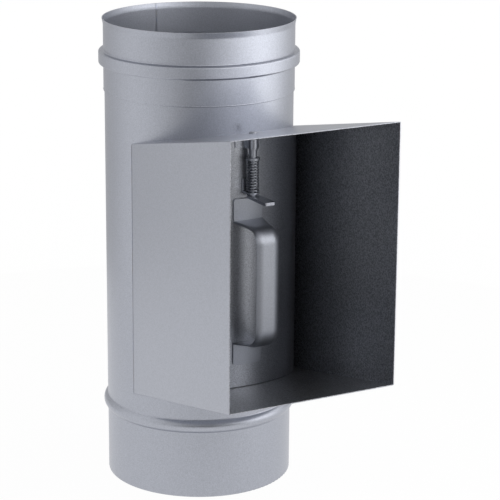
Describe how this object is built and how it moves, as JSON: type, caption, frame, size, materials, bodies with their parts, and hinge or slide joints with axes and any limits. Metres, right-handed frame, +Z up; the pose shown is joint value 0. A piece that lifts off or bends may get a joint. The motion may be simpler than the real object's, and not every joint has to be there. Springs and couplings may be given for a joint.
{
  "type": "flue duct with inspection door",
  "caption": "Short round flue duct with a plug-in socket, a spigot and a sloped rectangular access box that holds a curved inspection door with a bow handle and a spring latch.",
  "frame": {"origin": "on the duct's axis at the lower edge of the spigot", "axes": "+Z up the duct from spigot to socket, -Y out of the access box's mouth, +X to the right seen from the mouth"},
  "size_m": [0.2122, 0.3501, 0.5],
  "materials": {
    "duct_sheet": "satin",
    "socket_sheet": "satin",
    "box_sheet": "satin",
    "door_sheet": "satin",
    "handle": "satin",
    "door_fittings": "satin",
    "bolt": "satin",
    "spring": "bright",
    "tab": "satin",
    "seal": "woven"
  },
  "bodies": {
    "duct": {"duct_tube": "duct_sheet", "socket_sleeve": "socket_sheet", "access_box": "box_sheet", "door_panel": "door_sheet", "door_seal": "seal", "door_tongue_left": "door_fittings", "door_tongue_right": "door_fittings", "door_handle": "handle", "bolt_guide": "door_fittings", "spring_bracket": "door_fittings", "latch_spring": "spring"},
    "latch": {"latch_bolt": "bolt", "shoulder_washer": "bolt", "stop_collar": "bolt", "finger_tab": "tab"}
  },
  "joints": [
    {"name": "latch_slide", "type": "slide", "parent": "duct", "child": "latch", "axis": [0, 0, -1], "range_m": [0, 0.01], "stiffness_N_per_m": 600, "springref_m": -0.01, "deforming": ["latch_spring"]}
  ]
}
